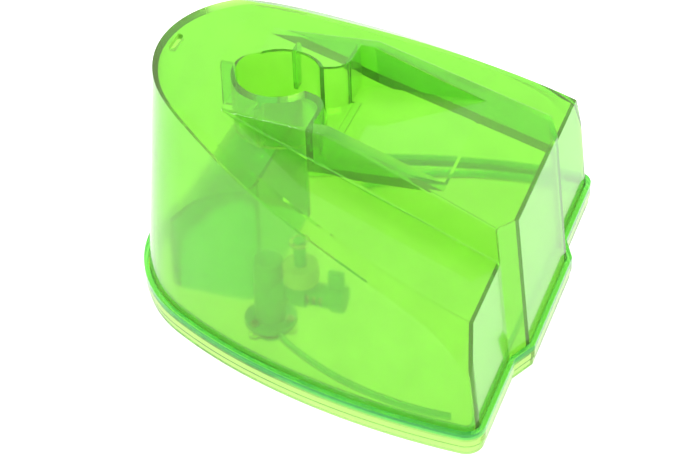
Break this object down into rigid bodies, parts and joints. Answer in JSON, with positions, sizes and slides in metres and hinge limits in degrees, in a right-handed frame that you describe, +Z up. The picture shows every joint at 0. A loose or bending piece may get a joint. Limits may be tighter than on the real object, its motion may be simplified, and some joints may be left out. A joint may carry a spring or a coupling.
{
  "type": "removable water tank for a steam generator iron",
  "caption": "Clear lime-green removable water tank with a filler hole, filling trough, grip recess under the nose, sprung outlet valve and level float.",
  "frame": {"origin": "centre of the footprint's bounding box, on the surface the tank stands on", "axes": "+Z up, -Y towards the rounded nose, +Y towards the face that docks against the iron's base station; X = 0 is the mirror plane of the shell and the base moulding, and the outlet valve is on +X"},
  "size_m": [0.1816, 0.1824, 0.1112],
  "materials": {
    "shell": "clear plastic tinted lime green, gloss",
    "base": "clear plastic tinted lime green, gloss",
    "moulding": "pale grey moulded plastic",
    "float": "off-white foam-like plastic",
    "seal": "black rubber",
    "stainless": "stainless steel",
    "ferrite": "dark sintered ferrite"
  },
  "bodies": {
    "tank": {"tank_shell": "shell", "base_plate": "base", "outlet_valve_body": "moulding", "outlet_gasket": "seal", "outlet_screws": "stainless", "spigot_o_ring": "seal", "valve_spring": "stainless", "valve_cap": "moulding", "strainer_body": "moulding", "strainer_mesh": "stainless", "strainer_o_ring": "seal", "strainer_end_cap": "moulding", "float_post": "moulding", "float_stop_clip": "stainless"},
    "valve": {"valve_stem": "moulding", "valve_seal": "seal"},
    "level_float": {"float_body": "float", "float_lid": "float", "float_magnet": "ferrite"}
  },
  "joints": [
    {"name": "valve_lift", "type": "slide", "parent": "tank", "child": "valve", "axis": [0, 0, 1], "range_m": [0, 0.004], "stiffness_N_per_m": 150, "springref_m": -0.006, "deforming": ["valve_spring"]},
    {"name": "float_rise", "type": "slide", "parent": "tank", "child": "level_float", "axis": [0, 0, 1], "range_m": [0, 0.0105]}
  ]
}
